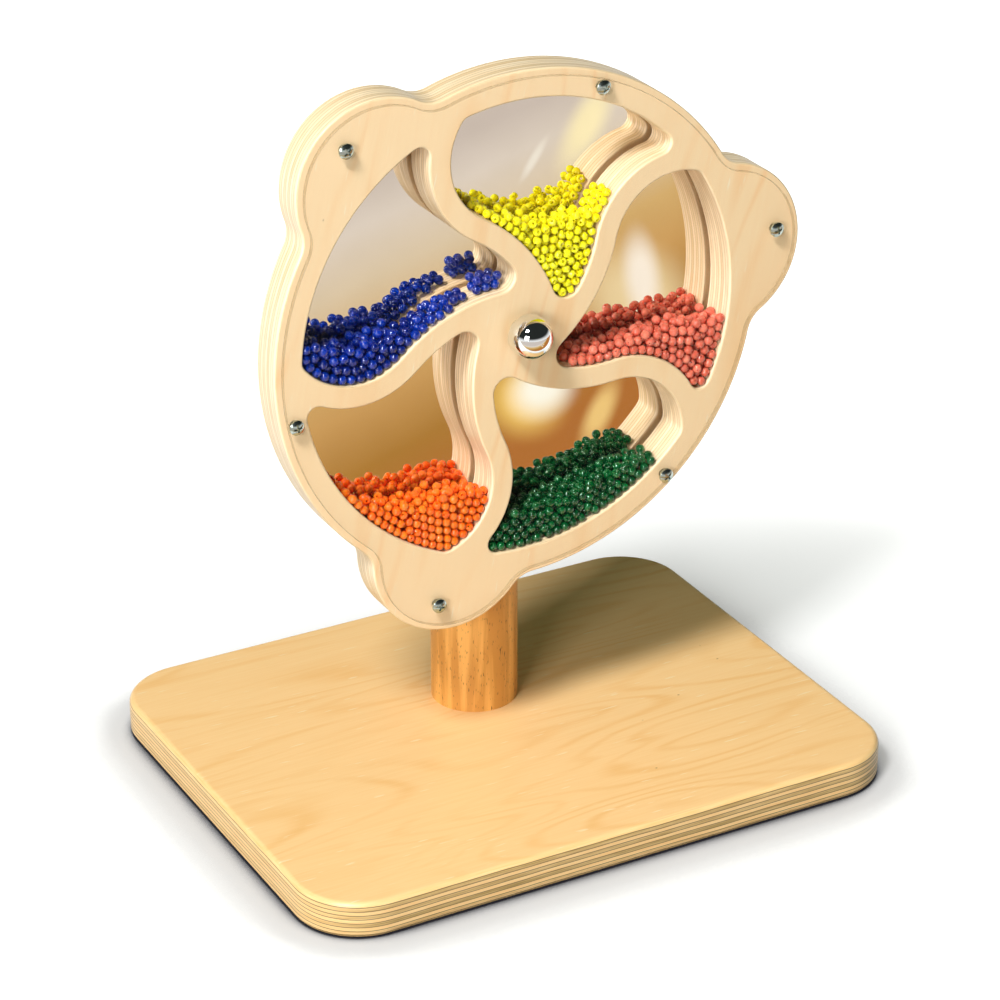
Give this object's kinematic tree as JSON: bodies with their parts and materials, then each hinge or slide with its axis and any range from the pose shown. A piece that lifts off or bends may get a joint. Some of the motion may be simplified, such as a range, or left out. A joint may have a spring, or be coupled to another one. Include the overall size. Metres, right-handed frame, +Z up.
{
  "type": "bead wheel toy",
  "caption": "Lobed plywood wheel with S-shaped spokes and mirrored bead chambers behind a clear cover, turning freely on a round post that stands on a plywood base.",
  "frame": {"origin": "middle of the base board's underside, on the surface the toy stands on", "axes": "+Z up along the post; the wheel faces -Y and its axle runs along Y; +X to the right seen from the front"},
  "size_m": [0.304, 0.242, 0.35],
  "materials": {
    "base_plywood": "clear satin lacquer on birch plywood",
    "wheel_plywood": "clear satin lacquer on birch plywood",
    "post_hardwood": "clear satin lacquer on brown hardwood",
    "dowel_beech": "bare turned beech",
    "clear_acrylic": "polished clear sheet",
    "acrylic_mirror": "second-surface mirror with a painted grey back",
    "hub_chrome": "polished chrome plate",
    "axle_steel": "drawn steel rod",
    "zinc_steel": "bright zinc plate",
    "ivory_nylon": "turned nylon",
    "yellow_bead": "glossy clear yellow",
    "blue_bead": "glossy clear deep blue",
    "orange_bead": "glossy clear orange",
    "green_bead": "glossy clear deep green",
    "coral_bead": "glossy milky coral"
  },
  "bodies": {
    "stand": {"base_board": "base_plywood", "post": "post_hardwood", "post_bolt": "zinc_steel", "post_washer": "zinc_steel", "post_dowels": "dowel_beech", "axle": "axle_steel", "spacer": "ivory_nylon", "front_washer": "zinc_steel", "hub_cap": "hub_chrome", "rear_washer": "zinc_steel", "rear_cap": "hub_chrome"},
    "wheel": {"wheel_frame": "wheel_plywood", "front_cover": "clear_acrylic", "mirror_sheet": "acrylic_mirror", "hub_bush": "ivory_nylon", "cover_screws": "zinc_steel", "mirror_screws": "zinc_steel", "beads_yellow": "yellow_bead", "beads_blue": "blue_bead", "beads_orange": "orange_bead", "beads_green": "green_bead", "beads_coral": "coral_bead"}
  },
  "joints": [
    {"name": "wheel_turn", "type": "hinge", "parent": "stand", "child": "wheel", "pos_m": [0, -0.0135, 0.227], "axis": [0, 1, 0], "continuous": true}
  ]
}
